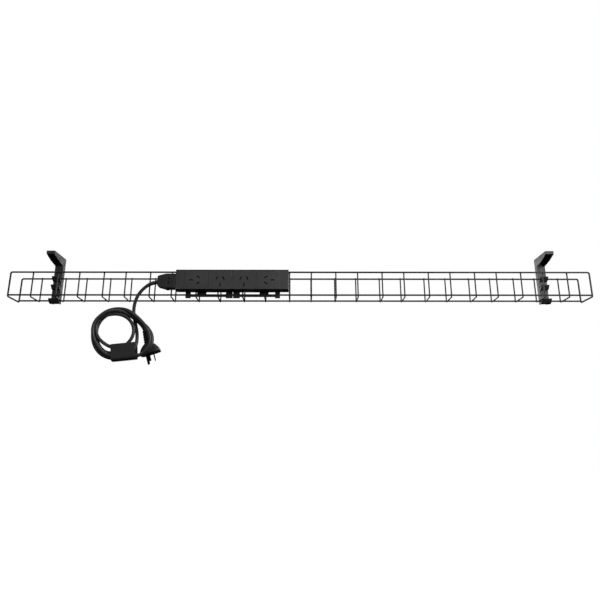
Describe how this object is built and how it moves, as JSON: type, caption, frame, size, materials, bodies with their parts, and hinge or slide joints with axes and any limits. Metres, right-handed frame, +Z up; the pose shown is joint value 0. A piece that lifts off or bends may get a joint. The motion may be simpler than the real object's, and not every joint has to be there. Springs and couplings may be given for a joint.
{
  "type": "under-desk cable tray",
  "caption": "Long wire cable basket hung under a desk on hooked brackets, with a clip-on power rail and a coiled plug-in supply lead.",
  "frame": {"origin": "centre of the four desk screw holes, on the flanges' top faces (the underside of the desk)", "axes": "+X along the basket, +Y away from the outlets towards the back, +Z up into the desk"},
  "size_m": [1.25, 0.0928, 0.2501],
  "materials": {
    "wire_coating": "satin black powder coat",
    "bracket_plastic": "fine matt black moulding",
    "rail_body": "matt black",
    "rail_face": "matt charcoal moulding",
    "cradle_plastic": "matt black moulding",
    "connector_plastic": "matt black moulding",
    "brass": "plain",
    "pin_metal": "nickel plated",
    "screw_steel": "blackened",
    "cord_rubber": "satin black sheath",
    "label_film": "matt dark wrap",
    "plug_plastic": "satin black moulding"
  },
  "bodies": {
    "brackets": {"bracket_left": "bracket_plastic", "bracket_right": "bracket_plastic"},
    "basket": {"rim_wire": "wire_coating", "bottom_wire_front": "wire_coating", "bottom_wire_rear": "wire_coating", "cross_wires": "wire_coating"},
    "power_rail": {"rail_channel": "rail_body", "rail_end_cap_left": "rail_face", "rail_end_cap_right": "rail_face", "socket_module_1": "rail_face", "socket_module_2": "rail_face", "socket_module_3": "rail_face", "socket_module_4": "rail_face", "contacts_active": "brass", "contacts_neutral": "brass", "contacts_earth": "brass", "busbar_active": "brass", "busbar_neutral": "brass", "busbar_earth": "brass", "inlet_pins": "pin_metal", "cradle_left": "cradle_plastic", "cradle_right": "cradle_plastic", "cradle_screws": "screw_steel"},
    "lead": {"connector_shell_front": "connector_plastic", "connector_shell_back": "connector_plastic", "connector_screws": "screw_steel", "connector_terminals": "brass", "cord_gland": "cord_rubber", "cord_drop": "cord_rubber", "cord_coil": "cord_rubber", "cord_label": "label_film", "plug_boot": "plug_plastic", "plug_body": "plug_plastic", "plug_pins": "pin_metal"},
    "latch": {"connector_latch": "connector_plastic"}
  },
  "joints": [
    {"name": "basket_lift", "type": "slide", "parent": "brackets", "child": "basket", "axis": [0, -0.7071, 0.7071], "range_m": [0, 0.045]},
    {"name": "rail_lift", "type": "slide", "parent": "basket", "child": "power_rail", "axis": [0, -0.7071, 0.7071], "range_m": [0, 0.03]},
    {"name": "lead_unplug", "type": "slide", "parent": "power_rail", "child": "lead", "axis": [-1, 0, 0], "range_m": [0, 0.028]},
    {"name": "latch_press", "type": "slide", "parent": "lead", "child": "latch", "axis": [0, 0, 1], "range_m": [0, 0.0015], "stiffness_N_per_m": 400, "springref_m": -0.001}
  ]
}
